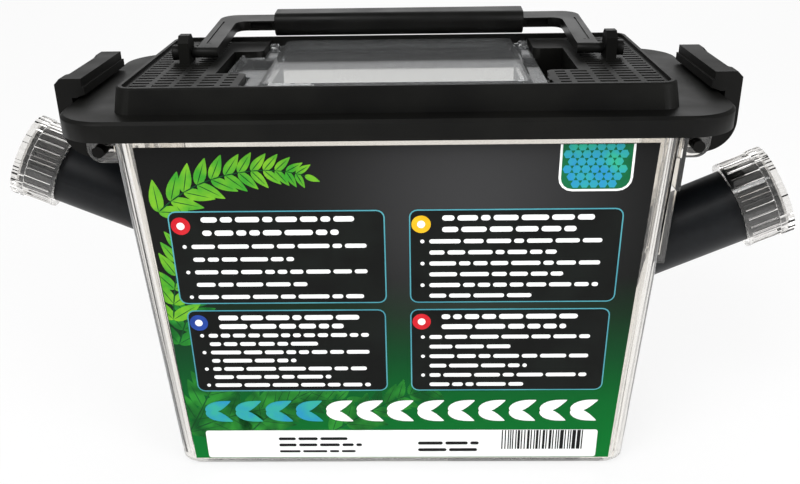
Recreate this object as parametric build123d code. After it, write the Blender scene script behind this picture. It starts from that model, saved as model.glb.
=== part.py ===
from build123d import *
import math
import os

# Cricket keeper box: a clear tapered tank with a black lid held by two side latches, a hinged
# window and a folding handle on the lid, and two capped tubes that enter through the ends.
# Millimetres. +X is the right end, +Y the back, +Z up. The origin is the middle of the base.

# ---- tank -------------------------------------------------------------------------------
tank_base_width = 132.4
tank_base_depth = 60.8
tank_height = 107.5
tank_wall = 2.0
tank_floor = 2.2
tank_corner_radius = 6.0
tank_base_chamfer = 2.0
end_draft = 2.9
face_draft = 3.5
tank_lip_thickness = 2.0

# ---- lid --------------------------------------------------------------------------------
lip_reach_end = 11.1
lip_reach_face = 1.2
lip_gap = 0.3
flange_corner_radius = 14.0
flange_thickness = 2.0
flange_skirt_drop = 3.2
flange_skirt_wall = 2.0
flange_chamfer = 0.8
block_set_in_end = 2.05
block_set_in_face = 4.15
block_height = 6.4
block_flare = 1.0
block_corner_radius = 4.5
block_chamfer = 0.4
block_wall = 1.6
rim_width = 1.3
rim_height = 0.9
deck_thickness = 1.6
plug_rib_drop = 3.5
plug_rib_wall = 1.6

# ---- vent slots -------------------------------------------------------------------------
slot_rows = 20
slot_row_pitch = 2.8
slot_width = 1.2
slot_length = 4.4
slot_shortest = 1.5
slot_column_pitch = 5.75
slot_rim_margin = 2.4
slot_edge_margin = 1.9

# ---- window opening and finger wells ------------------------------------------------------
recess_half_width = 39.6
ledge_drop = 3.1
ledge_thickness = 1.6
ledge_side = 6.1
ledge_front = 4.5
ledge_back = 7.0
well_width = 8.4
well_under_door = 4.0
well_front = -13.4
well_back = 14.0
well_depth = 9.1
well_wall = 1.4
island_round = 2.0

# ---- window door --------------------------------------------------------------------------
door_gap = 0.5
door_plate = 1.4
door_seat_gap = 0.1
door_corner_radius = 4.0
dome_height = 2.1
dome_side_margin = 3.5
dome_slope = 1.6
dome_margin = 1.8
dome_corner_radius = 3.0
tab_reach = 6.3
tab_front_gap = 1.9
tab_back_gap = 1.0
tab_corner_radius = 1.5
tab_lip_height = 1.0
tab_lip_width = 1.0
hinge_set_in = 4.5
hinge_lug_radius = 1.9
hinge_lug_width = 2.4
hinge_pin_radius = 0.9
hinge_pin_reach = 1.7
hinge_end_play = 0.2
trough_clearance = 0.4
hinge_boss_width = 4.0
catch_size = 2.0
catch_set_in = 8.9
catch_overlap = 0.6
catch_gap = 0.15

# ---- handle -------------------------------------------------------------------------------
pivot_back = 1.0
pivot_rise = 2.7
arm_outer = 55.6
arm_width = 5.8
arm_thickness = 2.9
arm_to_ear = 1.7
ear_thickness = 2.9
ear_depth = 6.6
ear_height = 7.6
ear_chamfer = 1.8
bar_overhang = 6.2
bar_depth = 8.5
bar_corner_radius = 5.0
bar_inner_radius = 3.0
grip_rest_gap = 0.3
grip_half_length = 38.2
grip_depth = 10.4
grip_height = 7.0
grip_round = 2.8
handle_pin_radius = 0.8
handle_pin_head_radius = 2.1
handle_pin_head = 2.0
handle_pin_play = 0.2
channel_depth = 1.2
channel_height = 1.8
groove_line = 0.5
groove_line_depth = 0.3
groove_line_set_in = 1.9
running_clearance = 0.05

# ---- latches ------------------------------------------------------------------------------
latch_length = 34.8
latch_side_gap = 0.8
latch_arm = 4.2
latch_top_rise = 5.4
latch_hook_reach = 2.85
latch_swing_gap = 0.4
latch_heel = 1.2
latch_chamfer = 1.5
latch_tip_ledge = 0.6
latch_tip_drop = 2.2
latch_wing = 4.6
latch_wing_step = 2.2
latch_scoop_radius = 2.0
latch_scoop_rise = 3.4
latch_pin_set_in = 6.15
latch_pin_drop = 7.7
latch_pin_radius = 1.6
latch_barrel_radius = 3.4
latch_pin_stand_out = 3.0
latch_elbow_radius = 8.5
latch_web_gap = 0.6
latch_web_foot = 1.5
ear_plate = 3.0
ear_end_gap = 0.3
ear_keyhole_reach = 3.4
ear_keyhole_half = 0.9

# ---- tubes, caps and shutters ---------------------------------------------------------------
tube_angle = 23.8
tube_radius = 10.35
tube_wall = 1.2
tube_length = 167.0
tube_offset = 12.6
port_z = 65.2
right_cap_start = 26.1
left_cap_start = 36.1
cap_overlap = 10.4
cap_radius = 12.2
cap_length = 12.4
cap_end_wall = 1.4
cap_ring = 1.0
cap_ring_lip = 0.15
cap_crown = 3.6
cap_crown_radius = 12.6
cap_scallop_depth = 0.3
cap_scallop_land = 0.4
cap_scallop_rise = 0.2
cap_flute_depth = 0.5
cap_flute_land = 0.42
cap_flute_rise = 0.08
cap_flutes = 28
cap_clearance = 0.1
port_clearance = 0.25
sleeve_wall = 1.5
sleeve_reach = 5.0
rail_width = 2.6
rail_gap = 0.45
rail_drop = 0.9
rail_stand_out = 3.1
pocket_rise = 20.0
pocket_cover = 0.9
groove_floor = 2.2
groove_depth = 1.2
shutter_thickness = 1.2
shutter_gap = 0.2
shutter_rest_gap = 0.3
shutter_top_gap = 4.95
shutter_ear_height = 12.0

# ---- dishes and label -----------------------------------------------------------------------
dish_length = 40.0
dish_width = 22.0
dish_height = 9.0
dish_wall = 1.2
dish_corner_radius = 4.0
dish_from_end = 10.3
dish_from_face = 1.3
cover_gap = 0.25
cover_thickness = 1.4
cover_plug_depth = 1.6
cover_edge = 2.6
cover_slots = 7
cover_slot_width = 1.6
label_under_flange = 2.3
label_bottom = 3.3
label_top_margin = 6.3
label_bottom_margin = 5.2
label_thickness = 0.2

os.makedirs("parts", exist_ok=True)


def half_width(z):
    """Half the tank's outside width at height z."""
    return tank_base_width / 2 + z * math.tan(math.radians(end_draft))


def half_depth(z):
    """Half the tank's outside depth at height z."""
    return tank_base_depth / 2 + z * math.tan(math.radians(face_draft))


# ---- values worked out from the above -------------------------------------------------------
# Lid over the tank's lip
lip_end = half_width(tank_height) + lip_reach_end
lip_face = half_depth(tank_height) + lip_reach_face
flange_end = lip_end + lip_gap + flange_skirt_wall
flange_face = lip_face + lip_gap + flange_skirt_wall
flange_top_z = tank_height + flange_thickness
flange_bottom_z = tank_height - flange_skirt_drop
block_end = half_width(tank_height) - block_set_in_end
block_face = half_depth(tank_height) - block_set_in_face
block_top_z = flange_top_z + block_height
deck_z = block_top_z - rim_height
deck_under_z = deck_z - deck_thickness
slot_outer = block_end - slot_rim_margin

# Window recess, ledge, wells and door
ledge_z = deck_z - ledge_drop
ledge_under_z = ledge_z - ledge_thickness
recess_back = block_face - rim_width
recess_front = -recess_back
hinge_back = recess_back - hinge_set_in
opening_half_width = recess_half_width - ledge_side
opening_front = recess_front + ledge_front
opening_back = hinge_back - ledge_back
well_outer = recess_half_width + well_width
well_inner = recess_half_width - well_under_door
well_floor_z = deck_z - well_depth
door_half = recess_half_width - door_gap
door_front = recess_front + door_gap
door_back = recess_back - 2 * door_gap
door_under_z = ledge_z + door_seat_gap
door_top_z = door_under_z + door_plate
dome_half = door_half - dome_side_margin
dome_top_z = door_top_z + dome_height
hinge_z = door_top_z - door_plate / 2
hinge_swing = math.hypot(door_back - hinge_back, door_plate / 2)
trough_floor_z = hinge_z - hinge_swing - trough_clearance
trough_front = hinge_back - hinge_lug_radius - 2 * door_plate

# Handle, which rests on the block's back rim
pivot_z = deck_z + pivot_rise
ear_inner = arm_outer + arm_to_ear
ear_outer = ear_inner + ear_thickness
arm_inner = arm_outer - arm_width
handle_reach = block_face + bar_overhang - pivot_back
rest_rise = block_top_z + grip_rest_gap + grip_height / 2 - pivot_z
handle_rise_angle = math.degrees(math.asin(rest_rise / (block_face - pivot_back)))

# Latch pin and the hook's path over the flange's chamfered edge
latch_inner = flange_end + latch_side_gap
latch_outer = latch_inner + latch_arm
latch_pin_x = flange_end - latch_pin_set_in
latch_pin_z = flange_bottom_z - latch_pin_drop
edge_dx = flange_end - flange_chamfer - latch_pin_x
edge_dz = flange_top_z - latch_pin_z
latch_hook_swing = math.hypot(edge_dx, edge_dz) + latch_swing_gap
ear_plate_round = lip_end - latch_pin_x

# Tubes, which cross the end walls at port_z, and the shutters' guides
tube_cos = math.cos(math.radians(tube_angle))
tube_sin = math.sin(math.radians(tube_angle))
rail_low = port_z - rail_drop
pocket_low = port_z + pocket_rise
groove_low = rail_low + groove_floor

# Dishes and label
dish_x = half_width(tank_floor) - tank_wall - dish_from_end - dish_length / 2
dish_y = half_depth(tank_floor) - tank_wall - dish_from_face - dish_width / 2
label_top = flange_bottom_z - label_under_flange


def block(x0, x1, y0, y1, z0, z1):
    """A plain box between two corners."""
    return Pos((x0 + x1) / 2, (y0 + y1) / 2, (z0 + z1) / 2) * Box(x1 - x0, y1 - y0, z1 - z0)


def rounded_slab(length, depth, radius, z0, z1):
    """An upright slab with rounded corners, centred on the origin."""
    return extrude(Plane.XY.offset(z0) * RectangleRounded(length, depth, radius), z1 - z0)


def trapezoid_bar(plane, low, high, z0, z1, reach):
    """A long bar whose section is low wide at z0 and high wide at z1, across the plane."""
    corners = [(-low / 2, z0), (low / 2, z0), (high / 2, z1), (-high / 2, z1)]
    return extrude(plane * make_face(Polyline(*corners, close=True)), reach, both=True)


def tapered_slab(low, high, z0, z1, radius):
    """A slab whose (length, depth) changes from low at z0 to high at z1, its corners rounded.

    It is what two crossing bars have in common, so that its four sides stay flat.
    """
    from_front = trapezoid_bar(Plane.XZ, low[0], high[0], z0, z1, max(low[1], high[1]))
    from_side = trapezoid_bar(Plane.YZ, low[1], high[1], z0, z1, max(low[0], high[0]))
    slab = from_front & from_side
    rising = slab.edges().filter_by(lambda edge: abs((edge @ 1 - edge @ 0).Z) > (z1 - z0) / 2)
    return fillet(rising, radius)


def tank_section(z, inset):
    """Length and depth of the tank at height z, inset from the outside."""
    return 2 * (half_width(z) - inset), 2 * (half_depth(z) - inset)


def end_plate(points, y0, y1):
    """A plate with the outline points in the XZ plane, from y0 to y1."""
    face = make_face(Polyline(*[(x, 0, z) for x, z in points], close=True))
    return Pos(0, y1, 0) * extrude(face, y1 - y0, dir=(0, -1, 0))


def wall_strip(inner, outer, z0, z1, y0, y1):
    """A strip that follows the sloping right end wall, between two distances from its outside."""
    points = [
        (half_width(z0) + inner, z0),
        (half_width(z0) + outer, z0),
        (half_width(z1) + outer, z1),
        (half_width(z1) + inner, z1),
    ]
    return end_plate(points, y0, y1)


def turn(shape):
    """The same piece at the other end of the box, half a turn about the upright axis."""
    return Rot(0, 0, 180) * shape


def save(node, shape):
    """Write one sub-part."""
    shape.label = node
    export_step(shape, f"parts/{node}.step")


# The right tube's axis: a plane on the end wall whose Z runs outward and up along the tube.
tube_plane = Plane(
    origin=(half_width(port_z), -tube_offset, port_z),
    x_dir=(0, 1, 0),
    z_dir=(tube_cos, 0, tube_sin),
)


def along_tube(radius, start, end):
    """A round bar on the right tube's axis, between two distances from the end wall."""
    return tube_plane * (Pos(0, 0, (start + end) / 2) * Cylinder(radius, end - start))


# ---- tank -------------------------------------------------------------------------------
def make_tank():
    outside = (tank_section(0, 0), tank_section(tank_height, 0))
    body = tapered_slab(*outside, 0, tank_height, tank_corner_radius)
    base_edges = body.faces().sort_by(Axis.Z)[0].edges()
    body = chamfer(base_edges, tank_base_chamfer)
    lip_z = tank_height - tank_lip_thickness
    lip_radius = flange_corner_radius - flange_skirt_wall - lip_gap
    body += rounded_slab(2 * lip_end, 2 * lip_face, lip_radius, lip_z, tank_height)
    rail = rails_and_pocket()
    ears = latch_ears()
    way = shutter_way()
    body += [rail, turn(rail), ears, turn(ears)]
    body -= [way, turn(way)]
    mouth_z = tank_height + 1
    inside = (tank_section(tank_floor, tank_wall), tank_section(mouth_z, tank_wall))
    body -= tapered_slab(*inside, tank_floor, mouth_z, tank_corner_radius - tank_wall)
    sleeve = port_sleeve()
    body += [sleeve, turn(sleeve)]
    port = along_tube(tube_radius + port_clearance, -2 * tube_radius, 2 * tube_radius)
    body -= [port, turn(port)]
    return body


def rails_and_pocket():
    """The two rails beside the right tube, and the cover that bridges their upper part."""
    inner = tube_radius + rail_gap
    outer = inner + rail_width
    top = tank_height - tank_lip_thickness / 2
    middle = -tube_offset
    cover_out = rail_stand_out + pocket_cover
    parts = [
        wall_strip(-tank_wall / 2, rail_stand_out, rail_low, top, middle - outer, middle - inner),
        wall_strip(-tank_wall / 2, rail_stand_out, rail_low, top, middle + inner, middle + outer),
        wall_strip(rail_stand_out, cover_out, pocket_low, top, middle - outer, middle + outer),
    ]
    return parts[0] + parts[1] + parts[2]


def shutter_way():
    """The space the right shutter drops through: the gap between the rails and their grooves."""
    inner = tube_radius + rail_gap
    groove_half = inner + groove_depth
    top = tank_height + 1
    middle = -tube_offset
    near = shutter_gap
    far = near + shutter_thickness + 2 * shutter_gap
    gap = wall_strip(0, rail_stand_out, rail_low - 1, top, middle - inner, middle + inner)
    return gap + wall_strip(
        near, far, groove_low, top, middle - groove_half, middle + groove_half
    )


def latch_ears():
    """The two ear plates that carry the right latch's pin, under the tank's lip."""
    radius = ear_plate_round
    ears = []
    for side in (-1, 1):
        near = latch_length / 2 + ear_end_gap
        y0, y1 = sorted((side * near, side * (near + ear_plate)))
        top = tank_height - tank_lip_thickness / 2
        root = half_width(latch_pin_z) - tank_wall / 2
        plate = block(root, latch_pin_x + radius, y0, y1, latch_pin_z, top)
        plate += block(root, latch_pin_x, y0, y1, latch_pin_z - radius, top)
        plate += pin_bar(radius, y0, y1)
        plate -= block(
            latch_pin_x - ear_keyhole_reach, latch_pin_x, y0, y1,
            latch_pin_z - ear_keyhole_half, latch_pin_z + ear_keyhole_half,
        )
        ears.append(plate - pin_bar(latch_pin_radius, y0 - 1, y1 + 1))
    return ears[0] + ears[1]


def pin_bar(radius, y0, y1):
    """A round bar on the right latch's pin axis."""
    bar = Pos(0, (y0 + y1) / 2, 0) * (Rot(90, 0, 0) * Cylinder(radius, y1 - y0))
    return Pos(latch_pin_x, 0, latch_pin_z) * bar


def port_sleeve():
    """The short collar inside the right wall that holds the tube at its slope."""
    radius = tube_radius + port_clearance + sleeve_wall
    ring = along_tube(radius, -tank_wall / tube_cos - sleeve_reach, tube_radius)
    inside_wall = wall_strip(
        -6 * tube_radius, -tank_wall / 2, port_z - 3 * tube_radius, port_z + 3 * tube_radius,
        -tube_offset - 2 * tube_radius, -tube_offset + 2 * tube_radius,
    )
    return ring & inside_wall


# ---- lid --------------------------------------------------------------------------------
def make_lid():
    lid = flange_shell() + deck_block()
    lid -= rounded_slab(
        2 * (block_end - rim_width), 2 * (block_face - rim_width),
        block_corner_radius - rim_width, deck_z, block_top_z + 1,
    )
    inside_face = block_face - block_wall
    inside_end = block_end - block_wall
    lid -= block(-inside_end, inside_end, -inside_face, inside_face, tank_height - 1, deck_under_z)
    lid += plug_rib()
    lid += window_seat(inside_face)
    lid -= window_cuts()
    lid += door_bosses(inside_face)
    for side in (-1, 1):
        mouth = side * (recess_half_width - 1)
        end = side * (recess_half_width + hinge_pin_reach + hinge_end_play)
        lid -= hinge_bar(hinge_pin_radius + running_clearance, mouth, end)
    lid += handle_ears()
    lid -= vent_slots()
    return lid


def flange_shell():
    """The wide flange with its skirt, open below to sit over the tank's lip."""
    outer = rounded_slab(
        2 * flange_end, 2 * flange_face, flange_corner_radius, flange_bottom_z, flange_top_z
    )
    top_edges = outer.faces().sort_by(Axis.Z)[-1].edges()
    outer = chamfer(top_edges, flange_chamfer)
    wall = flange_skirt_wall
    return outer - rounded_slab(
        2 * (flange_end - wall), 2 * (flange_face - wall), flange_corner_radius - wall,
        flange_bottom_z - 1, tank_height,
    )


def deck_block():
    """The raised block in the middle of the lid, flared towards its foot."""
    foot = (2 * (block_end + block_flare), 2 * (block_face + block_flare))
    head = (2 * block_end, 2 * block_face)
    solid = tapered_slab(foot, head, flange_top_z, block_top_z, block_corner_radius)
    return chamfer(solid.faces().sort_by(Axis.Z)[-1].edges(), block_chamfer)


def plug_rib():
    """The rib under the lid that centres it in the tank's mouth."""
    z0 = tank_height - plug_rib_drop
    gap = tank_wall + lip_gap
    end = half_width(z0) - gap
    face = half_depth(z0) - gap
    rib = rounded_slab(2 * end, 2 * face, tank_corner_radius - tank_wall, z0, tank_height)
    end -= plug_rib_wall
    face -= plug_rib_wall
    return rib - block(-end, end, -face, face, z0 - 1, tank_height + 1)


def window_seat(inside_face):
    """Solid stock for the window's ledge, the hinge trough and the two finger wells."""
    wall = well_wall
    width = recess_half_width + wall
    ledge = block(-width, width, -inside_face, inside_face, ledge_under_z, deck_under_z)
    trough = block(-width, width, opening_back, inside_face, tank_height, deck_under_z)
    seat = ledge + trough
    for side in (-1, 1):
        x0, x1 = sorted((side * (well_inner - wall), side * (well_outer + wall)))
        seat += block(
            x0, x1, well_front - wall, well_back + wall, well_floor_z - wall, deck_under_z
        )
    return seat


def window_cuts():
    """What is cut from the lid for the window: its recess, opening, trough and wells."""
    half = recess_half_width
    top = block_top_z + 1
    recess = Rectangle(2 * half, recess_back - recess_front)
    wells = Rectangle(2 * well_outer, well_back - well_front)
    outline = recess + Pos(0, (well_front + well_back) / 2) * wells
    beside_wells = outline.vertices().filter_by(
        lambda point: abs(point.X) < half + 1 and abs(point.Y) < recess_back - 1
    )
    outline = fillet(beside_wells, island_round)
    cuts = extrude(Plane.XY.offset(ledge_z) * outline, top - ledge_z)
    cuts += block(
        -opening_half_width, opening_half_width, opening_front, opening_back, 0, top
    )
    cuts += block(-half, half, trough_front, recess_back, trough_floor_z, top)
    for side in (-1, 1):
        x0, x1 = sorted((side * well_inner, side * well_outer))
        cuts += block(x0, x1, well_front, well_back, well_floor_z, ledge_z + 1)
    return cuts


def door_bosses(inside_face):
    """The hinge bosses beside the window's back corners, and the catch at its front corner."""
    bosses = []
    for side in (-1, 1):
        x0, x1 = sorted((side * recess_half_width, side * (recess_half_width + hinge_boss_width)))
        y0 = hinge_back - 2 * hinge_lug_radius
        bosses.append(block(x0, x1, y0, inside_face, tank_height, deck_z))
    catch_y = recess_front + catch_set_in
    bosses.append(block(
        recess_half_width - catch_overlap, recess_half_width + catch_size,
        catch_y - catch_size, catch_y + catch_size, door_top_z + catch_gap, deck_z,
    ))
    return bosses


def hinge_bar(radius, x_start, x_end):
    """A round bar on the window's hinge axis."""
    bar = Rot(0, 90, 0) * Cylinder(radius, abs(x_end - x_start))
    return Pos((x_start + x_end) / 2, hinge_back, hinge_z) * bar


def handle_ears():
    """The two ears that carry the handle's pins."""
    ears = []
    y0 = pivot_back - ear_depth / 2
    for side in (-1, 1):
        x0, x1 = sorted((side * ear_inner, side * ear_outer))
        ear = block(x0, x1, y0, y0 + ear_depth, deck_under_z, deck_z + ear_height)
        top = ear.edges().filter_by(Axis.X).group_by(Axis.Z)[-1]
        ear = chamfer(top, ear_chamfer)
        ears.append(ear - pivot_bar(handle_pin_radius + running_clearance, x0 - 1, x1 + 1))
    return ears


def pivot_bar(radius, x_start, x_end):
    """A round bar on the handle's pivot axis."""
    bar = Rot(0, 90, 0) * Cylinder(radius, abs(x_end - x_start))
    return Pos((x_start + x_end) / 2, pivot_back, pivot_z) * bar


def slot_spans(inner):
    """Where the slots of one row start and end, from the rim in to the limit given."""
    spans = []
    outer = slot_outer
    while outer - slot_length >= inner:
        spans.append((outer - slot_length, outer))
        outer -= slot_column_pitch
    if outer - inner >= slot_shortest:
        spans.append((inner, outer))
    return spans


def vent_slots():
    """All the vent slots, clear of the window's recess, the wells and the handle's ears."""
    first = -slot_row_pitch * (slot_rows - 1) / 2
    half = slot_width / 2
    slots = []
    for row in range(slot_rows):
        y = first + row * slot_row_pitch
        beside_ear = abs(y - pivot_back) < ear_depth / 2 + slot_width
        edge = recess_half_width if y < well_front - slot_width else well_outer
        for near, far in slot_spans(edge + slot_edge_margin):
            if beside_ear and near < ear_outer and far > ear_inner:
                continue
            for x0, x1 in ((near, far), (-far, -near)):
                slots.append(block(x0, x1, y - half, y + half, deck_under_z - 1, deck_z + 1))
    return slots


# ---- window door --------------------------------------------------------------------------
def make_window_door():
    plate = block(-door_half, door_half, door_front, door_back, door_under_z, door_top_z)
    back_corners = plate.edges().filter_by(Axis.Z).group_by(Axis.Y)[-1]
    plate = fillet(back_corners, door_corner_radius)
    tab_end = -door_half - tab_reach
    tab_front = well_front + tab_front_gap
    tab_back = well_back - tab_back_gap
    tab = block(tab_end, -door_half, tab_front, tab_back, door_under_z, door_top_z)
    tab_corners = tab.edges().filter_by(Axis.Z).group_by(Axis.X)[0]
    tab = fillet(tab_corners, tab_corner_radius)
    lip = block(
        tab_end, tab_end + tab_lip_width, tab_front + tab_corner_radius,
        tab_back - tab_corner_radius, door_top_z, door_top_z + tab_lip_height,
    )
    door = plate + tab + lip
    door += dome(0, door_top_z, dome_top_z)
    door -= dome(door_plate, door_under_z - 1, dome_top_z - door_plate)
    for side in (-1, 1):
        x_out = side * door_half
        x_in = side * (door_half - hinge_lug_width)
        door += hinge_bar(hinge_lug_radius, x_in, x_out)
        door += hinge_bar(hinge_pin_radius, x_in, side * (recess_half_width + hinge_pin_reach))
    return door


def dome(inset, z0, z1):
    """The window's raised tray, or with an inset the straight-sided hollow under it."""
    front = door_front + dome_margin
    back = door_back - dome_margin
    width = 2 * (dome_half - inset)
    depth = back - front - 2 * inset
    head = (width - 2 * dome_slope, depth - 2 * dome_slope)
    foot = head if inset else (width, depth)
    slab = tapered_slab(foot, head, z0, z1, dome_corner_radius)
    return Pos(0, (front + back) / 2, 0) * slab


# ---- handle -------------------------------------------------------------------------------
def handle_frame(shape):
    """Place a piece drawn flat at the pivot at the slope where the folded handle rests."""
    return Pos(0, pivot_back, pivot_z) * (Rot(handle_rise_angle, 0, 0) * shape)


def make_handle():
    half = arm_thickness / 2
    blank = Pos(0, handle_reach / 2) * Rectangle(2 * arm_outer, handle_reach)
    outline = extrude(Plane.XY.offset(-half) * blank, arm_thickness)
    corners = outline.edges().filter_by(Axis.Z).group_by(Axis.Y)[-1]
    frame = fillet(corners, bar_corner_radius)
    cut = block(-arm_inner, arm_inner, -half, handle_reach - bar_depth, -half - 1, half + 1)
    cut_corners = cut.edges().filter_by(Axis.Z).group_by(Axis.Y)[-1]
    frame -= fillet(cut_corners, bar_inner_radius)
    for side in (-1, 1):
        x0 = side * arm_inner
        x1 = side * (ear_inner - ear_end_gap)
        hub = Rot(0, 90, 0) * Cylinder(half, abs(x1 - x0))
        frame += Pos((x0 + x1) / 2, 0, 0) * hub
    frame -= Rot(0, 90, 0) * Cylinder(handle_pin_radius, 4 * arm_outer)
    frame -= bar_channel() + arm_grooves()
    return handle_frame(frame)


def bar_channel():
    """The shallow channel along the front of the cross bar, each side of the grip."""
    front = handle_reach - bar_depth
    half = channel_height / 2
    channels = []
    for side in (-1, 1):
        near = side * (grip_half_length + 1)
        far = side * (arm_inner - bar_inner_radius - 1)
        x0, x1 = sorted((near, far))
        channels.append(block(x0, x1, front - 1, front + channel_depth, -half, half))
    return channels


def arm_grooves():
    """The fine line along the top of each arm, with its short mark near the pivot."""
    floor = arm_thickness / 2 - groove_line_depth
    top = arm_thickness / 2 + 1
    start = arm_width - groove_line_set_in
    grooves = []
    for side in (-1, 1):
        centre = side * (arm_outer - groove_line_set_in)
        mark = side * (arm_outer - arm_width / 2)
        half = groove_line / 2
        end = handle_reach - bar_depth
        grooves.append(block(centre - half, centre + half, start, end, floor, top))
        grooves.append(block(mark - 2 * half, mark + half, start, start + half, floor, top))
    return grooves


def make_grip():
    middle = handle_reach - bar_depth / 2
    body = Pos(0, middle, 0) * Box(2 * grip_half_length, grip_depth, grip_height)
    body = fillet(body.edges().filter_by(Axis.X), grip_round)
    core = Pos(0, middle, 0) * Box(2 * grip_half_length + 2, bar_depth, arm_thickness)
    return handle_frame(body - core)


def make_handle_pin(side):
    start = side * arm_inner
    neck = side * (ear_outer + handle_pin_play)
    end = neck + side * handle_pin_head
    pin = pivot_bar(handle_pin_radius, start, neck)
    return pin + pivot_bar(handle_pin_head_radius, neck, end)


# ---- latches ------------------------------------------------------------------------------
def make_latch():
    """The right latch: a hook over the flange's end, an arm, and a barrel round its pin."""
    top = flange_top_z + latch_top_rise
    tip_x = flange_end - latch_hook_reach
    heel_x = latch_inner - latch_heel
    bottom = latch_pin_z - latch_barrel_radius
    ledge_z_on_tip = top - latch_tip_drop

    def hook_z(x):
        """Height of the hook's underside, a circle about the pin that clears the flange."""
        return latch_pin_z + math.sqrt(latch_hook_swing**2 - (x - latch_pin_x) ** 2)

    middle_x = (tip_x + heel_x) / 2
    web_foot = (latch_pin_x + latch_web_foot, latch_pin_z + latch_barrel_radius - latch_web_gap)
    with BuildPart() as arm:
        with BuildSketch(Plane.XZ.offset(-latch_length / 2)):
            with BuildLine():
                ThreePointArc(
                    (tip_x, hook_z(tip_x)), (middle_x, hook_z(middle_x)), (heel_x, hook_z(heel_x))
                )
                inside = Polyline(
                    (heel_x, hook_z(heel_x)),
                    (latch_inner, hook_z(heel_x)),
                    (latch_inner, flange_bottom_z - latch_web_gap),
                    web_foot,
                    (latch_pin_x, latch_pin_z),
                    (latch_pin_x, bottom),
                    (latch_outer - latch_elbow_radius, bottom),
                )
                bend = TangentArc(
                    inside @ 1, (latch_outer, bottom + latch_elbow_radius), tangent=(1, 0)
                )
                Polyline(
                    bend @ 1,
                    (latch_outer, top - latch_chamfer),
                    (latch_outer - latch_chamfer, top),
                    (tip_x + latch_tip_ledge, top),
                    (tip_x + latch_tip_ledge, ledge_z_on_tip),
                    (tip_x, ledge_z_on_tip),
                    (tip_x, hook_z(tip_x)),
                )
            make_face()
        extrude(amount=latch_length)
    latch = arm.part + pin_bar(latch_barrel_radius, -latch_length / 2, latch_length / 2)
    latch -= latch_scoop(top)
    return latch - pin_bar(latch_pin_radius + running_clearance, -latch_length, latch_length)


def latch_scoop(top):
    """The thumb scoop in the latch's outer face, which leaves a wing at each end."""
    waist = latch_length / 2 - latch_wing
    deep = latch_outer - latch_wing_step
    scoop = block(deep, latch_outer + 1, -waist, waist, latch_pin_z + latch_scoop_rise, top + 1)
    inner_corners = scoop.edges().filter_by(Axis.Z).group_by(Axis.X)[0]
    return fillet(inner_corners, latch_scoop_radius)


def make_latch_pin():
    """The plain pin that the right latch turns on, standing out at both ears."""
    half = latch_length / 2 + ear_end_gap + ear_plate + latch_pin_stand_out
    return pin_bar(latch_pin_radius, -half, half)


# ---- tubes, caps and shutters ---------------------------------------------------------------
def make_tube(cap_start):
    end = cap_start + cap_overlap
    tube = along_tube(tube_radius, end - tube_length, end)
    return tube - along_tube(tube_radius - tube_wall, end - tube_length - 1, end + 1)


def notched_outline(outer, inner, land, rise):
    """A circle with straight-sided notches, as many as the cap's flutes, seen from its end.

    Each step of the pattern is a land, then a notch whose sides take the share rise.
    """
    step = 2 * math.pi / cap_flutes
    corners = []
    for index in range(cap_flutes):
        for share, radius in ((0, outer), (land, outer), (land + rise, inner), (1 - rise, inner)):
            angle = (index + share) * step
            corners.append((radius * math.cos(angle), radius * math.sin(angle)))
    return make_face(Polyline(*corners, close=True))


def make_cap(cap_start):
    """A clear push-on cap: a plain ring, a fluted band and a wider scalloped crown."""
    crown_z = cap_length - cap_crown
    groove_radius = cap_radius - cap_flute_depth
    scallop_radius = cap_crown_radius - cap_scallop_depth
    ring = Pos(0, 0, cap_ring / 2) * Cylinder(cap_radius + cap_ring_lip, cap_ring)
    band = notched_outline(cap_radius, groove_radius, cap_flute_land, cap_flute_rise)
    band = extrude(Plane.XY.offset(cap_ring) * band, crown_z - cap_ring)
    crown = notched_outline(
        cap_crown_radius, scallop_radius, cap_scallop_land, cap_scallop_rise
    )
    crown = extrude(Plane.XY.offset(crown_z) * crown, cap_crown)
    bore = cap_length - cap_end_wall
    body = ring + band + crown
    body -= Pos(0, 0, bore / 2) * Cylinder(tube_radius + cap_clearance, bore)
    return tube_plane * (Pos(0, 0, cap_start) * body)


def shutter_rest_z(out):
    """Height where a plate whose outer face stands out from the wall meets the right tube."""
    wall_x = half_width(port_z + tube_radius) + out
    axis_z = port_z + (wall_x - half_width(port_z)) * tube_sin / tube_cos
    return axis_z + tube_radius / tube_cos + shutter_rest_gap


def make_shutter():
    """The clear drop plate that rests on the right tube and falls when the tube is drawn."""
    inner = tube_radius + rail_gap
    near = 2 * shutter_gap
    far = near + shutter_thickness
    shutter_low = shutter_rest_z(far)
    top = tank_height - shutter_top_gap
    tongue_half = inner - shutter_gap
    ear_half = inner + groove_depth - shutter_gap
    tongue = wall_strip(
        near, far, shutter_low, top, -tube_offset - tongue_half, -tube_offset + tongue_half
    )
    return tongue + wall_strip(
        near, far, top - shutter_ear_height, top, -tube_offset - ear_half, -tube_offset + ear_half
    )


# ---- dishes and label -----------------------------------------------------------------------
def dish_slab(inset, z0, z1):
    """A slab with the dish's outline, inset, at the right-hand dish's place."""
    slab = rounded_slab(
        dish_length - 2 * inset, dish_width - 2 * inset, dish_corner_radius - inset, z0, z1
    )
    return Pos(dish_x, -dish_y, tank_floor) * slab


def make_dish():
    return dish_slab(0, 0, dish_height) - dish_slab(dish_wall, dish_wall, dish_height + 1)


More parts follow.
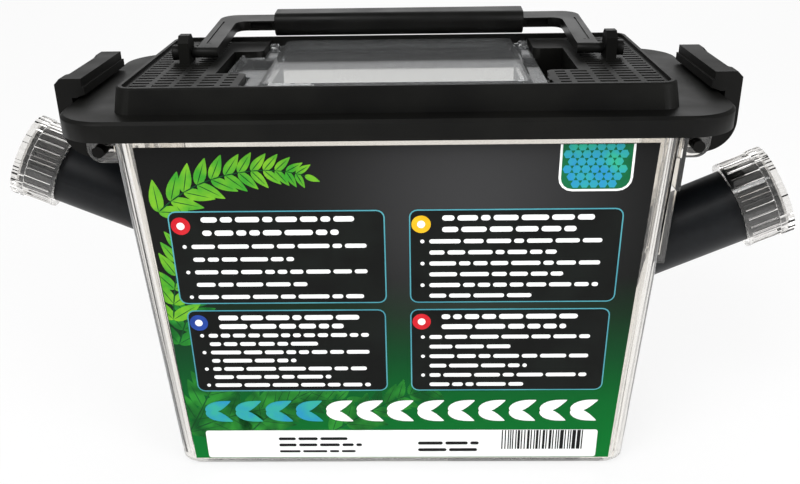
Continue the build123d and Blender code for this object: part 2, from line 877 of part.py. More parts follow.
def make_water_cover():
    """The slotted cover that drops into the water dish's mouth, so that nothing drowns."""
    seat = dish_height
    plug = dish_wall + cover_gap
    low = seat - cover_plug_depth
    cover = dish_slab(0, seat, seat + cover_thickness) + dish_slab(plug, low, seat)
    slot_span = dish_length - 3 * dish_corner_radius
    pitch = slot_span / (cover_slots - 1)
    reach = dish_width / 2 - plug - cover_edge
    half = cover_slot_width / 2
    for index in range(cover_slots):
        x = dish_x - slot_span / 2 + index * pitch
        top = tank_floor + seat + cover_thickness + 1
        cover -= block(x - half, x + half, -dish_y - reach, -dish_y + reach, tank_floor, top)
    return cover


def make_label():
    """The printed sheet on the front of the tank."""
    top_half = half_width(label_top) - label_top_margin
    bottom_half = half_width(label_bottom) - label_bottom_margin

    def corner(half, z):
        return (half, -half_depth(z), z)

    outline = Polyline(
        corner(-bottom_half, label_bottom), corner(bottom_half, label_bottom),
        corner(top_half, label_top), corner(-top_half, label_top), close=True,
    )
    return extrude(make_face(outline), label_thickness, dir=(0, -1, 0))


save("tank", make_tank())
save("lid", make_lid())
save("window_door", make_window_door())
save("handle", make_handle())
save("handle_grip", make_grip())
save("handle_pin_right", make_handle_pin(1))
save("handle_pin_left", make_handle_pin(-1))
save("latch_right", make_latch())
save("latch_left", turn(make_latch()))
save("latch_pin_right", make_latch_pin())
save("latch_pin_left", turn(make_latch_pin()))
save("tube_right", make_tube(right_cap_start))
save("tube_left", turn(make_tube(left_cap_start)))
save("cap_right", make_cap(right_cap_start))
save("cap_left", turn(make_cap(left_cap_start)))
save("shutter_right", make_shutter())
save("shutter_left", turn(make_shutter()))
save("water_dish", make_dish())
save("water_cover", make_water_cover())
save("food_dish", turn(make_dish()))
save("front_label", make_label())
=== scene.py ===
import math
import random

import bmesh
import bpy
from mathutils import Matrix, Vector


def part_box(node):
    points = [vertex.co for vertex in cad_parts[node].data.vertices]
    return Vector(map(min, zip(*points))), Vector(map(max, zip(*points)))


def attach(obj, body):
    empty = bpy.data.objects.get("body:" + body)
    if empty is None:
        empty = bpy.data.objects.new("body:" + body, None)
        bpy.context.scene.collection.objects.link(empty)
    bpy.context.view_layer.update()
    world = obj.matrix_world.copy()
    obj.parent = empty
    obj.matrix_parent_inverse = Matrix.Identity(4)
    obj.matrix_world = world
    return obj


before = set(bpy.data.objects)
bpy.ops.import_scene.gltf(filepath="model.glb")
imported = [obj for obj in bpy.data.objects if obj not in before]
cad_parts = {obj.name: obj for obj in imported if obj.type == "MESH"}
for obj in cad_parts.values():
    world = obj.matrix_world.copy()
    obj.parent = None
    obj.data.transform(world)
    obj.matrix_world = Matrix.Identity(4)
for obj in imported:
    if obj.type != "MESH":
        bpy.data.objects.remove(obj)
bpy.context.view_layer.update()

# Looks of a cricket keeper box: clear polystyrene tank and window, black polypropylene lid, handle
# and latches, black tubes with clear caps, and a printed film on the front wall. The frame is in
# metres, and the sizes of the print are in millimetres.

MM = 0.001

# ---- sizes of the print on the front film, in millimetres ---------------------------------------
FILM_THICKNESS = 0.2
FILM_EDGE = 0.3                 # the leaves stop this far short of the film's top and foot
FILM_HALF_FOOT = 61.0           # half widths between which the leaves are printed
FILM_HALF_HEAD = 64.8
INK = 0.03                      # each layer of ink stands this far off the one below
LEAF_STEP = 0.001               # from one level of leaves to the next, so that neighbours don't
                                # lie in one plane
LEAF_LEVELS = 11
LEAF_SKIP = 4                   # levels from one leaf to the next
LEAF_SHRINK = 0.55              # how much smaller the last pair of a spray is than its first
LEAF_SPREAD = (38.0, 54.0)      # degrees between a leaf and its stem
STEM_SWAY = 3.0                 # degrees
STEM_WIDTH = 0.55
VEIN_WIDTH = 0.3
VEIN_SHARE = 0.84               # of the leaf's length
STEM_SHARE = 1.3                # of the step to the next pair
END_LEAF = 0.45                 # the leaf at a spray's tip, as a share of the first ones
TIP_DRAW = 0.75                 # how far a leaf is drawn in towards its tip
LEAF_SIDES = 20
VEIN_SIDES = 8
PANEL_ROUND = 2.2
PANEL_LINE = 0.35
HEAD_MARGIN = 3.2
FOOT_MARGIN = 1.6
HEADING_HEIGHT = 1.5
ROW_HEIGHT = 1.2
HEADING_INSET = 8.5
ROW_INSET = 5.2
BULLET_INSET = 3.4
BULLET_RADIUS = 0.55
RIGHT_INSET = 2.0
HEADING_SHARES = (0.88, 0.78)   # of the width, as are the next two
LEAD_SHARE = 0.94
REST_SHARES = (0.45, 0.78)
WORD_WIDTHS = (2.2, 8.5)
SHORTEST_WORD = 1.2
WORD_ROUND = 0.45               # of the row's height
WORD_GAP = 0.75
DISC_RADIUS = 2.5
DISC_CENTRE = 0.42              # of the disc's radius

# each panel: left and right, bottom and top, its disc's place, the rows under its heading, and the
# tone of its disc
PANELS = [
    {"x": (-59.0, -3.0), "z": (56.9, 84.6), "disc": (-55.9, 80.4), "rows": 5, "tone": "red"},
    {"x": (3.2, 58.0), "z": (56.9, 84.6), "disc": (6.3, 80.4), "rows": 6, "tone": "amber"},
    {"x": (-57.7, -3.4), "z": (27.8, 54.9), "disc": (-54.7, 50.9), "rows": 7, "tone": "blue"},
    {"x": (3.2, 57.2), "z": (27.8, 54.9), "disc": (6.3, 50.9), "rows": 6, "tone": "red"},
]
# each spray: start, heading, turn at each pair, pairs, step, leaf length, leaf width
EDGE_SPRAYS = [
    ((-61.5, 52.0), 82.0, -1.5, 9, 5.0, 9.5, 4.4),
    ((-61.0, 84.5), 40.0, -6.5, 12, 4.6, 9.0, 4.2),
]
LOW_SPRAYS = [
    ((-62.0, 13.0), 62.0, -2.0, 8, 5.4, 12.0, 5.6),
    ((-60.0, 14.5), 24.0, -1.5, 11, 5.6, 11.5, 5.4),
    ((-44.0, 13.0), 48.0, -3.0, 8, 5.4, 11.0, 5.2),
    ((-20.0, 13.0), 34.0, -3.0, 9, 5.2, 10.0, 4.8),
    ((-61.0, 44.0), 70.0, 1.0, 7, 5.0, 10.0, 4.6),
]
# the badge runs up past the film's top, where it is cut off
BADGE = {"x": (40.7, 59.2), "z": (89.3, 101.9), "round": 3.6, "line": 0.6, "past": 6.0}
CELL_RADIUS = 1.18
CELL_STEP = (2.3, 2.0)
CELL_ROWS, CELL_COLUMNS = 7, 8
CELL_INSET = 2.0                # from the badge's lower left to the first cell
CELL_MARGIN = 1.7               # no cell's centre is nearer the badge's right edge
CORNER_CELLS = 3.2              # the lowest row stays this far in from the badge's sides
STRIP = {"x": (-57.3, 57.3), "z": (3.6, 13.6), "round": 0.8}
# each block of rows on the strip: left and right, drop to its first row, pitch, and the height and
# the share of the width of each row
STRIP_BLOCKS = [
    ((-36.0, -11.5), 3.6, 2.3, [(1.0, 0.85), (1.0, 1.0), (0.8, 0.95)]),
    ((5.0, 24.5), 5.4, 2.5, [(1.1, 0.95), (1.1, 0.95)]),
]
STRIP_BARS = {"x": (29.5, 53.0), "foot": 2.9, "head": 0.1}
BAR_WIDTHS = (0.35, 0.35, 0.7, 1.05)
BAR_GAPS = (0.3, 0.3, 0.55)
BAND = {"x": (-57.0, 57.0), "z": (16.4, 24.9)}
BAND_PAIRS = 13
BAND_TEAL_PAIRS = 4
BAND_LEAF = {"inset": 0.6, "apart": 0.25, "share": 0.95, "width": 4.0, "angle": 24.0, "level": 2}
# the grey glow in the film's charcoal, in metres
GLOW_CENTRE = Vector((0.02, 0.0, 0.088))
GLOW_REACH = 0.055
GLOW_STRENGTH = 0.75

# ---- camera and studio, in metres and degrees ---------------------------------------------------
CAMERA_PLACE = (0.00561, -0.24577, 0.16838)
CAMERA_YAW = 1.311
CAMERA_PITCH = 23.847
CAMERA_ROLL = -0.965
CAMERA_LENS = 39.85
SENSOR_WIDTH = 36.0
FLOOR_HALF = 3.0
FLOOR_GLOW = 0.8                # the share of the floor's white that doesn't depend on the lamps
# each softbox: its place, the point it faces, its width and height, and its power in watts
SOFTBOXES = {
    "key_softbox": ((-0.35, -0.55, 0.75), (0.0, 0.0, 0.08), (0.5, 0.5), 5.0),
    "fill_softbox": ((0.55, -0.5, 0.45), (0.0, 0.0, 0.06), (0.4, 0.6), 3.0),
    "back_softbox": ((0.0, 1.2, 0.75), (0.0, 0.0, 0.1), (1.4, 0.6), 4.5),
}


# ---- helpers ------------------------------------------------------------------------------------
def srgb(code):
    """The linear colour of an sRGB hex code."""
    channels = [int(code[i:i + 2], 16) / 255 for i in (1, 3, 5)]
    linear = [c / 12.92 if c <= 0.04045 else ((c + 0.055) / 1.055) ** 2.4 for c in channels]
    return (*linear, 1.0)


def add(tree, kind, values=None, links=None, stops=(), **settings):
    """A node with its settings, socket values, incoming links and (position, hex code) stops."""
    node = tree.nodes.new(kind)
    for name, value in settings.items():
        setattr(node, name, value)
    for socket, value in (values or {}).items():
        node.inputs[socket].default_value = value
    for socket, source in (links or {}).items():
        tree.links.new(source, node.inputs[socket])
    for _ in stops[2:]:
        node.color_ramp.elements.new(0.5)
    for index, (position, code) in enumerate(stops):
        node.color_ramp.elements[index].position = position
        node.color_ramp.elements[index].color = srgb(code)
    return node


def new_material(name):
    """An empty node material, its tree, and the place of each point as Object coordinates."""
    material = bpy.data.materials.new(name)
    material.use_nodes = True
    material.node_tree.nodes.clear()
    place = add(material.node_tree, "ShaderNodeTexCoord").outputs["Object"]
    return material, material.node_tree, place


def per_mm(size):
    """Texture scale whose cells are this many millimetres across."""
    return 1.0 / (size * MM)


# ---- materials ----------------------------------------------------------------------------------
def clear_polystyrene(name, tint, clarity, roughness, wave_mm, wave_height):
    """Crystal polystyrene, injection moulded: colourless, bright edges, faint flow waviness."""
    material, tree, place = new_material(name)
    waves = add(
        tree, "ShaderNodeTexNoise", {"Scale": per_mm(wave_mm), "Detail": 2.0, "Roughness": 0.4},
        {"Vector": place},
    )
    bump = add(
        tree, "ShaderNodeBump", {"Strength": 0.35, "Distance": wave_height * MM},
        {"Height": waves.outputs["Fac"]},
    )
    haze = add(
        tree, "ShaderNodeTexNoise", {"Scale": per_mm(35.0), "Detail": 1.0}, {"Vector": place}
    )
    rough = add(
        tree, "ShaderNodeMapRange",
        {"From Min": 0.3, "From Max": 0.7, "To Min": roughness * 0.5, "To Max": roughness * 1.6},
        {"Value": haze.outputs["Fac"]},
    )
    shader = add(
        tree, "ShaderNodeBsdfPrincipled",
        {"Base Color": srgb(tint), "IOR": 1.59, "Transmission Weight": clarity},
        {"Roughness": rough.outputs["Result"], "Normal": bump.outputs["Normal"]},
    )
    add(tree, "ShaderNodeOutputMaterial", links={"Surface": shader.outputs["BSDF"]})
    return material


def moulded_black(name, dark, light, roughness, grain_mm, grain_height):
    """Black polypropylene, moulded with a fine spark-eroded grain that breaks up its sheen."""
    material, tree, place = new_material(name)
    cloud = add(
        tree, "ShaderNodeTexNoise", {"Scale": per_mm(14.0), "Detail": 3.0}, {"Vector": place}
    )
    colour = add(
        tree, "ShaderNodeValToRGB", links={"Fac": cloud.outputs["Fac"]},
        stops=[(0.35, dark), (0.65, light)],
    )
    grain = add(
        tree, "ShaderNodeTexNoise", {"Scale": per_mm(grain_mm), "Detail": 2.0}, {"Vector": place}
    )
    rough = add(
        tree, "ShaderNodeMapRange",
        {"From Min": 0.3, "From Max": 0.7, "To Min": roughness - 0.06, "To Max": roughness + 0.08},
        {"Value": cloud.outputs["Fac"]},
    )
    bump = add(
        tree, "ShaderNodeBump", {"Strength": 0.5, "Distance": grain_height * MM},
        {"Height": grain.outputs["Fac"]},
    )
    shader = add(
        tree, "ShaderNodeBsdfPrincipled", {"IOR": 1.49, "Specular IOR Level": 0.13},
        {
            "Base Color": colour.outputs["Color"],
            "Roughness": rough.outputs["Result"],
            "Normal": bump.outputs["Normal"],
        },
    )
    add(tree, "ShaderNodeOutputMaterial", links={"Surface": shader.outputs["BSDF"]})
    return material


def extruded_tube_black():
    """Extruded black tube: bluish black, with a faint unevenness in its sheen."""
    material, tree, place = new_material("extruded_tube_black")
    lines = add(
        tree, "ShaderNodeTexNoise", {"Scale": per_mm(1.6), "Detail": 2.0}, {"Vector": place}
    )
    bump = add(
        tree, "ShaderNodeBump", {"Strength": 0.2, "Distance": 0.003 * MM},
        {"Height": lines.outputs["Fac"]},
    )
    colour = add(
        tree, "ShaderNodeValToRGB", links={"Fac": lines.outputs["Fac"]},
        stops=[(0.3, "#0a0c0f"), (0.7, "#0f1215")],
    )
    shader = add(
        tree, "ShaderNodeBsdfPrincipled",
        {"Roughness": 0.4, "IOR": 1.5, "Specular IOR Level": 0.22},
        {"Base Color": colour.outputs["Color"], "Normal": bump.outputs["Normal"]},
    )
    add(tree, "ShaderNodeOutputMaterial", links={"Surface": shader.outputs["BSDF"]})
    return material


def printed_film():
    """Glossy printed film: charcoal with a grey glow, running to leaf green at its foot."""
    material, tree, place = new_material("printed_film")
    low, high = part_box("front_label")
    parts = add(tree, "ShaderNodeSeparateXYZ", links={"Vector": place})
    height = add(
        tree, "ShaderNodeMapRange", {"From Min": low.z, "From Max": high.z},
        {"Value": parts.outputs["Z"]},
    )
    ground = add(
        tree, "ShaderNodeValToRGB", links={"Fac": height.outputs["Result"]},
        stops=[
            (0.0, "#03702a"), (0.2, "#046026"), (0.36, "#0c4522"), (0.5, "#152c1c"),
            (0.62, "#171817"), (1.0, "#131313"),
        ],
    )
    glow_place = add(
        tree, "ShaderNodeMapping",
        {"Location": -GLOW_CENTRE, "Scale": (1.0, 0.0, 1.0)}, {"Vector": place},
        vector_type="POINT",
    )
    spread = add(
        tree, "ShaderNodeVectorMath", links={0: glow_place.outputs["Vector"]}, operation="LENGTH"
    )
    glow = add(
        tree, "ShaderNodeMapRange",
        {"From Min": 0.0, "From Max": GLOW_REACH, "To Min": GLOW_STRENGTH, "To Max": 0.0},
        {"Value": spread.outputs["Value"]}, interpolation_type="SMOOTHSTEP",
    )
    # a Mix node's sockets 6 and 7 are its two colours, and its output 2 is the mixed one
    lit = add(
        tree, "ShaderNodeMix", {7: srgb("#414142")},
        {0: glow.outputs["Result"], 6: ground.outputs["Color"]}, data_type="RGBA",
    )
    shader = add(
        tree, "ShaderNodeBsdfPrincipled",
        {"Roughness": 0.3, "IOR": 1.5, "Specular IOR Level": 0.08},
        {"Base Color": lit.outputs[2]},
    )
    add(tree, "ShaderNodeOutputMaterial", links={"Surface": shader.outputs["BSDF"]})
    return material


def ink(name, code, second, patch_mm=4.0):
    """Printing ink on the film: two close tones in soft patches."""
    material, tree, place = new_material(name)
    patches = add(
        tree, "ShaderNodeTexNoise", {"Scale": per_mm(patch_mm), "Detail": 2.0}, {"Vector": place}
    )
    colour = add(
        tree, "ShaderNodeValToRGB", links={"Fac": patches.outputs["Fac"]},
        stops=[(0.35, code), (0.65, second)],
    )
    shader = add(
        tree, "ShaderNodeBsdfPrincipled",
        {"Roughness": 0.32, "IOR": 1.5, "Specular IOR Level": 0.08},
        {"Base Color": colour.outputs["Color"]},
    )
    add(tree, "ShaderNodeOutputMaterial", links={"Surface": shader.outputs["BSDF"]})
    return material


# tint, clarity, roughness, and the width and height of its flow waves in millimetres
tank_plastic = clear_polystyrene("clear_polystyrene_tank", "#f4f1ec", 1.0, 0.012, 26.0, 0.012)
cap_plastic = clear_polystyrene("clear_polystyrene_caps", "#f5f3f0", 1.0, 0.02, 12.0, 0.001)
window_plastic = clear_polystyrene("clear_polystyrene_window", "#f2f4f5", 0.95, 0.018, 14.0, 0.005)
# dark and light tone, roughness, and the width and height of its grain in millimetres
lid_plastic = moulded_black("black_polypropylene_lid", "#0b0b0a", "#11110f", 0.46, 0.5, 0.02)
handle_plastic = moulded_black("black_polypropylene_handle", "#0d0d0c", "#131312", 0.38, 0.5, 0.015)
latch_plastic = moulded_black("black_polypropylene_latch", "#0c0c0b", "#12110f", 0.5, 0.5, 0.02)
dish_plastic = moulded_black("black_polypropylene_dish", "#1b1b1a", "#232322", 0.5, 0.5, 0.02)
tube_plastic = extruded_tube_black()
film = printed_film()
# the two tones, and the width of their patches in millimetres where it isn't the usual one
white_ink = ink("white_ink", "#f4f5f4", "#ffffff")
panel_ink = ink("dark_panel_ink", "#121312", "#171a18", 12.0)
line_ink = ink("pale_blue_line_ink", "#4a93a3", "#5aa7b0", 20.0)
leaf_ink = ink("bright_leaf_ink", "#3c9a2c", "#78b82c", 6.0)
deep_leaf_ink = ink("deep_leaf_ink", "#0b4f20", "#2c8a30", 6.0)
vein_ink = ink("dark_vein_ink", "#0d3f1b", "#14502a", 6.0)
badge_ink = ink("blue_green_badge_ink", "#2e8fc0", "#35b08c", 7.0)
badge_ground_ink = ink("badge_ground_ink", "#12603a", "#176b44", 5.0)
black_ink = ink("black_ink", "#151515", "#1c1c1c")
teal_ink = ink("teal_ink", "#2c93b8", "#37a99a", 5.0)
disc_inks = {
    "red": ink("red_ink", "#c8202c", "#d22c34"),
    "amber": ink("amber_ink", "#e8b21c", "#f0bf2a"),
    "blue": ink("blue_ink", "#25418f", "#2c4ba0"),
}


# ---- the CAD pieces' finishes -------------------------------------------------------------------
FINISHES = {
    "tank": tank_plastic,
    "lid": lid_plastic,
    "window_door": window_plastic,
    "handle": handle_plastic,
    "handle_grip": handle_plastic,
    "handle_pin_left": handle_plastic,
    "handle_pin_right": handle_plastic,
    "latch_left": latch_plastic,
    "latch_right": latch_plastic,
    "latch_pin_left": latch_plastic,
    "latch_pin_right": latch_plastic,
    "tube_left": tube_plastic,
    "tube_right": tube_plastic,
    "cap_left": cap_plastic,
    "cap_right": cap_plastic,
    "shutter_left": tank_plastic,
    "shutter_right": tank_plastic,
    "water_dish": dish_plastic,
    "water_cover": dish_plastic,
    "food_dish": dish_plastic,
    "front_label": film,
}
for node_name, material in FINISHES.items():
    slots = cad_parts[node_name].data.materials
    slots.clear()
    slots.append(material)


# ---- rounded moulding edges ---------------------------------------------------------------------
JOIN_DISTANCE = 0.0005          # millimetres between the points that are joined
SHARP_EDGE = 35.0               # degrees, past which an edge is rounded
# how wide each piece's moulded edges are rounded, in millimetres
EDGE_ROUNDING = {
    "tank": 0.12,
    "lid": 0.18,
    "handle": 0.3,
    "latch_left": 0.3,
    "latch_right": 0.3,
    "latch_pin_left": 0.25,
    "latch_pin_right": 0.25,
    "handle_pin_left": 0.25,
    "handle_pin_right": 0.25,
    "handle_grip": 0.25,
    "window_door": 0.2,
}


def round_edges(node_name, radius):
    """Join a piece's loose triangles and round its sharp edges, as a mould leaves them."""
    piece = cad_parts[node_name]
    weld = piece.modifiers.new("joined_skin", "WELD")
    weld.merge_threshold = JOIN_DISTANCE * MM
    bevel = piece.modifiers.new("moulded_edges", "BEVEL")
    bevel.width = radius * MM
    bevel.segments = 2
    bevel.limit_method = "ANGLE"
    bevel.angle_limit = math.radians(SHARP_EDGE)
    bevel.harden_normals = True


for node_name, radius in EDGE_ROUNDING.items():
    round_edges(node_name, radius)


# ---- printing on the film -----------------------------------------------------------------------
film_low, film_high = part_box("front_label")
film_foot_y = film_high.y - FILM_THICKNESS * MM
film_lean = (film_low.y - film_foot_y) / (film_high.z - film_low.z)
lean_angle = math.atan(-film_lean)


def film_place(lift):
    """Matrix from print millimetres (X along the wall, Y the height, Z outwards) to the frame."""
    out = (0.0, -math.cos(lean_angle), -math.sin(lean_angle))
    foot = Vector((0.0, film_foot_y - film_lean * film_low.z, 0.0))
    foot += Vector(out) * lift * MM
    return Matrix((
        (MM, 0.0, 0.0, foot.x),
        (0.0, film_lean * MM, out[1] * MM, foot.y),
        (0.0, MM, out[2] * MM, foot.z),
        (0.0, 0.0, 0.0, 1.0),
    ))


def flat_disc(shape, x, z, radius, sides=24):
    """A flat disc or many-sided face at a place on the film."""
    made = bmesh.ops.create_circle(
        shape, cap_ends=True, segments=sides, radius=radius,
        matrix=Matrix.Translation((x, z, 0.0)),
    )
    return made["verts"]


def flat_bar(shape, x0, x1, z0, z1, radius=0.0, segments=4):
    """A flat bar between two corners of the film, with rounded corners if a radius is given."""
    made = bmesh.ops.create_grid(
        shape, x_segments=1, y_segments=1, size=0.5,
        matrix=Matrix.Translation(((x0 + x1) / 2, (z0 + z1) / 2, 0.0))
        @ Matrix.Diagonal((x1 - x0, z1 - z0, 1.0, 1.0)),
    )
    if radius > 0.0:
        bmesh.ops.bevel(
            shape, geom=made["verts"], offset=radius, offset_type="OFFSET", segments=segments,
            profile=0.5, affect="VERTICES", material=-1,
        )


def print_piece(name, shape, layer, material):
    """Give a flat shape the thickness of ink, lay it on the film and hand it to the root body."""
    faces = shape.faces[:]
    for face in faces:
        if face.normal.z < 0:
            face.normal_flip()
    risen = bmesh.ops.extrude_face_region(shape, geom=faces, use_keep_orig=True)
    top = [item for item in risen["geom"] if isinstance(item, bmesh.types.BMVert)]
    bmesh.ops.translate(shape, verts=top, vec=(0.0, 0.0, INK))
    bmesh.ops.reverse_faces(shape, faces=faces)
    bmesh.ops.transform(shape, matrix=film_place(layer * INK), verts=shape.verts[:])
    bmesh.ops.recalc_face_normals(shape, faces=shape.faces[:])
    mesh = bpy.data.meshes.new(name)
    shape.to_mesh(mesh)
    shape.free()
    mesh.materials.append(material)
    piece = bpy.data.objects.new(name, mesh)
    bpy.context.scene.collection.objects.link(piece)
    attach(piece, "root")


def print_panels():
    """The four dark panels, each with a pale line round it."""
    borders, fills = bmesh.new(), bmesh.new()
    for panel in PANELS:
        (x0, x1), (z0, z1) = panel["x"], panel["z"]
        line = PANEL_LINE
        flat_bar(borders, x0, x1, z0, z1, PANEL_ROUND)
        flat_bar(fills, x0 + line, x1 - line, z0 + line, z1 - line, PANEL_ROUND - line)
    print_piece("print_panel_lines", borders, 2, line_ink)
    print_piece("print_panels", fills, 3, panel_ink)


def word_row(shape, x0, x1, z, height, share, chance):
    """A row of short bars that fills a share of the width, as plain filler for words."""
    x = x0
    end = x0 + (x1 - x0) * share
    while x < end:
        width = min(chance.uniform(*WORD_WIDTHS), end - x)
        if width < SHORTEST_WORD:
            break
        flat_bar(shape, x, x + width, z, z + height, height * WORD_ROUND, 2)
        x += width + WORD_GAP


def print_words():
    """Filler rows in the panels: two heavier heading rows and bulleted rows under them."""
    rows, chance = bmesh.new(), random.Random(7)
    for panel in PANELS:
        (x0, x1), (z0, z1) = panel["x"], panel["z"]
        count = panel["rows"] + len(HEADING_SHARES)
        pitch = (z1 - z0 - HEAD_MARGIN - FOOT_MARGIN) / (count - 1)
        for index in range(count):
            z = z1 - HEAD_MARGIN - index * pitch
            end = x1 - RIGHT_INSET
            if index < len(HEADING_SHARES):
                share = HEADING_SHARES[index]
                word_row(rows, x0 + HEADING_INSET, end, z, HEADING_HEIGHT, share, chance)
                continue
            leads = index % 2 == 0
            share = LEAD_SHARE if leads else chance.uniform(*REST_SHARES)
            word_row(rows, x0 + ROW_INSET, end, z, ROW_HEIGHT, share, chance)
            if leads:
                flat_disc(rows, x0 + BULLET_INSET, z + ROW_HEIGHT / 2, BULLET_RADIUS, 10)
    print_piece("print_filler_rows", rows, 4, white_ink)


def print_discs():
    """A plain coloured disc with a pale centre at the head of each panel."""
    centres, tones = bmesh.new(), {}
    for panel in PANELS:
        x, z = panel["disc"]
        flat_disc(centres, x, z, DISC_RADIUS * DISC_CENTRE)
        shape = tones.setdefault(panel["tone"], bmesh.new())
        flat_disc(shape, x, z, DISC_RADIUS)
    for tone, shape in tones.items():
        print_piece(f"print_discs_{tone}", shape, 4, disc_inks[tone])
    print_piece("print_disc_centres", centres, 5, white_ink)


def print_badge():
    """The corner badge: white edge, deep ground and a plain honeycomb."""
    (x0, x1), (z0, z1) = BADGE["x"], BADGE["z"]
    line, head = BADGE["line"], z1 + BADGE["past"]
    edge, ground, cells = bmesh.new(), bmesh.new(), bmesh.new()
    flat_bar(edge, x0, x1, z0, head, BADGE["round"])
    flat_bar(ground, x0 + line, x1 - line, z0 + line, head, BADGE["round"] - line)
    point_up = Matrix.Rotation(math.radians(30.0), 3, "Z")
    step_x, step_z = CELL_STEP
    for row in range(CELL_ROWS):
        for column in range(CELL_COLUMNS):
            x = x0 + CELL_INSET + column * step_x + (row % 2) * step_x / 2
            z = z0 + CELL_INSET + row * step_z
            in_corner = row == 0 and not x0 + CORNER_CELLS < x < x1 - CORNER_CELLS
            if x > x1 - CELL_MARGIN or in_corner:
                continue
            cell = flat_disc(cells, x, z, CELL_RADIUS, 6)
            bmesh.ops.rotate(cells, cent=(x, z, 0.0), matrix=point_up, verts=cell)
    for shape in (edge, ground, cells):
        cut = shape.verts[:] + shape.edges[:] + shape.faces[:]
        bmesh.ops.bisect_plane(
            shape, geom=cut, plane_co=(0.0, z1, 0.0), plane_no=(0.0, 1.0, 0.0), clear_outer=True
        )
    print_piece("print_badge_edge", edge, 2, white_ink)
    print_piece("print_badge_ground", ground, 3, badge_ground_ink)
    print_piece("print_badge_cells", cells, 4, badge_ink)


def print_strip():
    """The white strip along the foot, with filler rows and plain upright bars."""
    (x0, x1), (z0, z1) = STRIP["x"], STRIP["z"]
    ground, marks, bars = bmesh.new(), bmesh.new(), bmesh.new()
    flat_bar(ground, x0, x1, z0, z1, STRIP["round"])
    chance = random.Random(11)
    for (left, right), drop, pitch, rows in STRIP_BLOCKS:
        for index, (height, share) in enumerate(rows):
            word_row(marks, left, right, z1 - drop - index * pitch, height, share, chance)
    x, end = STRIP_BARS["x"]
    while x < end:
        width = chance.choice(BAR_WIDTHS)
        flat_bar(bars, x, x + width, z0 + STRIP_BARS["foot"], z1 - STRIP_BARS["head"])
        x += width + chance.choice(BAR_GAPS)
    print_piece("print_foot_strip", ground, 2, white_ink)
    print_piece("print_foot_rows", marks, 3, black_ink)
    print_piece("print_foot_bars", bars, 3, black_ink)


def leaf(shape, x, z, length, width, angle, sides=LEAF_SIDES, level=0):
    """A pointed leaf whose stalk end is at x, z and whose tip points along angle."""
    verts = bmesh.ops.create_circle(shape, cap_ends=True, segments=sides, radius=0.5)["verts"]
    for vert in verts:
        along = vert.co.x + 0.5
        vert.co.y *= 1.0 - TIP_DRAW * along ** 2
    place = (
        Matrix.Translation((x, z, LEAF_STEP * level))
        @ Matrix.Rotation(math.radians(angle), 4, "Z")
        @ Matrix.Diagonal((length, width, 1.0, 1.0))
        @ Matrix.Translation((0.5, 0.0, 0.0))
    )
    bmesh.ops.transform(shape, matrix=place, verts=verts)


def spray(shape, veins, start, heading, turn, count, step, length, width, chance):
    """A stem of paired leaves that grow smaller towards its tip, each at its own level."""
    x, z = start
    level = len(shape.faces)
    for index in range(count):
        size = 1.0 - LEAF_SHRINK * index / count
        ahead = math.radians(heading)
        leaf(veins, x, z, step * size * STEM_SHARE, STEM_WIDTH * size, heading, VEIN_SIDES)
        for side in (-1, 1):
            angle = heading + side * chance.uniform(*LEAF_SPREAD)
            level += LEAF_SKIP
            leaf(shape, x, z, length * size, width * size, angle, level=level % LEAF_LEVELS)
            leaf(veins, x, z, length * size * VEIN_SHARE, VEIN_WIDTH, angle, VEIN_SIDES)
        x += step * math.cos(ahead) * size
        z += step * math.sin(ahead) * size
        heading += turn + chance.uniform(-STEM_SWAY, STEM_SWAY)
    leaf(shape, x, z, length * END_LEAF, width * END_LEAF, heading)


def trim_to_film(shape):
    """Cut a flat shape off at the film's edges."""
    foot, head = film_low.z / MM + FILM_EDGE, film_high.z / MM - FILM_EDGE
    slope = (FILM_HALF_HEAD - FILM_HALF_FOOT) / (head - foot)
    planes = [
        ((0.0, foot, 0.0), (0.0, -1.0, 0.0)),
        ((0.0, head, 0.0), (0.0, 1.0, 0.0)),
        ((-FILM_HALF_FOOT, foot, 0.0), (-1.0, -slope, 0.0)),
        ((FILM_HALF_FOOT, foot, 0.0), (1.0, -slope, 0.0)),
    ]
    for place, normal in planes:
        geometry = shape.verts[:] + shape.edges[:] + shape.faces[:]
        bmesh.ops.bisect_plane(
            shape, geom=geometry, plane_co=place, plane_no=normal, clear_outer=True
        )


def print_leaves():
    """Sprays of plain leaves behind the panels: bright ones from the left edge, deep ones below."""
    chance = random.Random(5)
    layers = [
        ("deep_leaves", "deep_leaf_veins", LOW_SPRAYS, deep_leaf_ink, 0.0, 0.4),
        ("bright_leaves", "bright_leaf_veins", EDGE_SPRAYS, leaf_ink, 0.9, 1.4),
    ]
    for leaf_name, vein_name, sprays, material, leaf_layer, vein_layer in layers:
        leaves, veins = bmesh.new(), bmesh.new()
        for start, heading, turn, count, step, length, width in sprays:
            spray(leaves, veins, start, heading, turn, count, step, length, width, chance)
        trim_to_film(leaves)
        trim_to_film(veins)
        print_piece(f"print_{leaf_name}", leaves, leaf_layer, material)
        print_piece(f"print_{vein_name}", veins, vein_layer, vein_ink)


def print_band():
    """A plain row of leaves where the film has its title band."""
    first, rest = bmesh.new(), bmesh.new()
    (x0, x1), (z0, z1) = BAND["x"], BAND["z"]
    middle = (z0 + z1) / 2
    step = (x1 - x0) / BAND_PAIRS
    for index in range(BAND_PAIRS):
        shape = first if index < BAND_TEAL_PAIRS else rest
        x = x0 + index * step + BAND_LEAF["inset"]
        for side in (-1, 1):
            leaf(
                shape, x, middle + side * BAND_LEAF["apart"], step * BAND_LEAF["share"],
                BAND_LEAF["width"], side * BAND_LEAF["angle"], level=side * BAND_LEAF["level"],
            )
    print_piece("print_band_first", first, 4, teal_ink)
    print_piece("print_band_rest", rest, 4, white_ink)


print_leaves()
print_panels()
print_words()
print_discs()
print_badge()
print_band()
print_strip()


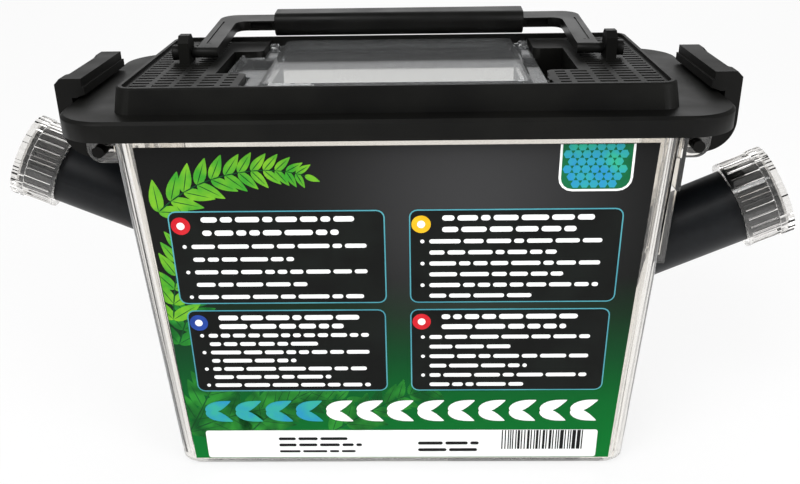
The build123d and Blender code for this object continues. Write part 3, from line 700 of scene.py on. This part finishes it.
# ---- studio -------------------------------------------------------------------------------------
def ray_level(tree, direct, glossy, scattered):
    """One level for camera and transmission rays, one for glossy and one for scattered rays."""
    path = add(tree, "ShaderNodeLightPath")
    level = add(
        tree, "ShaderNodeMapRange", {"To Min": scattered, "To Max": glossy},
        {"Value": path.outputs["Is Glossy Ray"]},
    )
    seen = add(
        tree, "ShaderNodeMath",
        links={0: path.outputs["Is Camera Ray"], 1: path.outputs["Is Transmission Ray"]},
        operation="MAXIMUM",
    )
    return add(
        tree, "ShaderNodeMapRange", {"To Max": direct},
        {"Value": seen.outputs["Value"], "To Min": level.outputs["Result"]},
    ).outputs["Result"]


def make_floor():
    """A wide white floor that keeps the object's soft shadow."""
    shape = bmesh.new()
    bmesh.ops.create_grid(shape, x_segments=1, y_segments=1, size=FLOOR_HALF)
    mesh = bpy.data.meshes.new("studio_floor")
    shape.to_mesh(mesh)
    shape.free()
    floor = bpy.data.objects.new("studio_floor", mesh)
    bpy.context.scene.collection.objects.link(floor)
    material, tree, _ = new_material("white_paper_floor")
    matt = add(tree, "ShaderNodeBsdfDiffuse", {"Color": srgb("#f7f7f7")})
    glow = add(tree, "ShaderNodeEmission", {"Color": (1.0, 1.0, 1.0, 1.0), "Strength": 1.0})
    share = add(
        tree, "ShaderNodeMath", {1: FLOOR_GLOW},
        {0: ray_level(tree, direct=1.0, glossy=0.2, scattered=0.0)}, operation="MULTIPLY",
    )
    mix = add(
        tree, "ShaderNodeMixShader",
        links={0: share.outputs["Value"], 1: matt.outputs["BSDF"], 2: glow.outputs["Emission"]},
    )
    add(tree, "ShaderNodeOutputMaterial", links={"Surface": mix.outputs["Shader"]})
    mesh.materials.append(material)


def make_world():
    """A white surround for what is seen, and a softer one for the light it gives."""
    world = bpy.data.worlds.new("studio_world")
    bpy.context.scene.world = world
    world.use_nodes = True
    tree = world.node_tree
    tree.nodes.clear()
    ground = add(
        tree, "ShaderNodeBackground", {"Color": (1.0, 1.0, 1.0, 1.0)},
        {"Strength": ray_level(tree, direct=0.96, glossy=0.3, scattered=0.5)},
    )
    add(tree, "ShaderNodeOutputWorld", links={"Surface": ground.outputs["Background"]})


def add_softbox(name, place, target, size, power):
    """A rectangular area lamp that faces a point."""
    lamp = bpy.data.lights.new(name, "AREA")
    lamp.shape = "RECTANGLE"
    lamp.size, lamp.size_y = size
    lamp.energy = power
    holder = bpy.data.objects.new(name, lamp)
    holder.location = place
    holder.rotation_euler = (Vector(target) - Vector(place)).to_track_quat("-Z", "Y").to_euler()
    bpy.context.scene.collection.objects.link(holder)


def make_camera():
    """The camera, turned by yaw, pitch and roll about its place."""
    lens = bpy.data.cameras.new("view_camera")
    lens.lens = CAMERA_LENS
    lens.sensor_width = SENSOR_WIDTH
    lens.sensor_fit = "HORIZONTAL"
    lens.clip_start = 0.01
    camera = bpy.data.objects.new("view_camera", lens)
    turn = (
        Matrix.Rotation(math.radians(CAMERA_YAW), 4, "Z")
        @ Matrix.Rotation(math.radians(90.0 - CAMERA_PITCH), 4, "X")
        @ Matrix.Rotation(math.radians(CAMERA_ROLL), 4, "Z")
    )
    camera.matrix_world = Matrix.Translation(CAMERA_PLACE) @ turn
    bpy.context.scene.collection.objects.link(camera)
    bpy.context.scene.camera = camera


make_floor()
make_world()
for softbox, (place, target, size, power) in SOFTBOXES.items():
    add_softbox(softbox, place, target, size, power)
make_camera()
bpy.context.scene.view_settings.view_transform = "Standard"
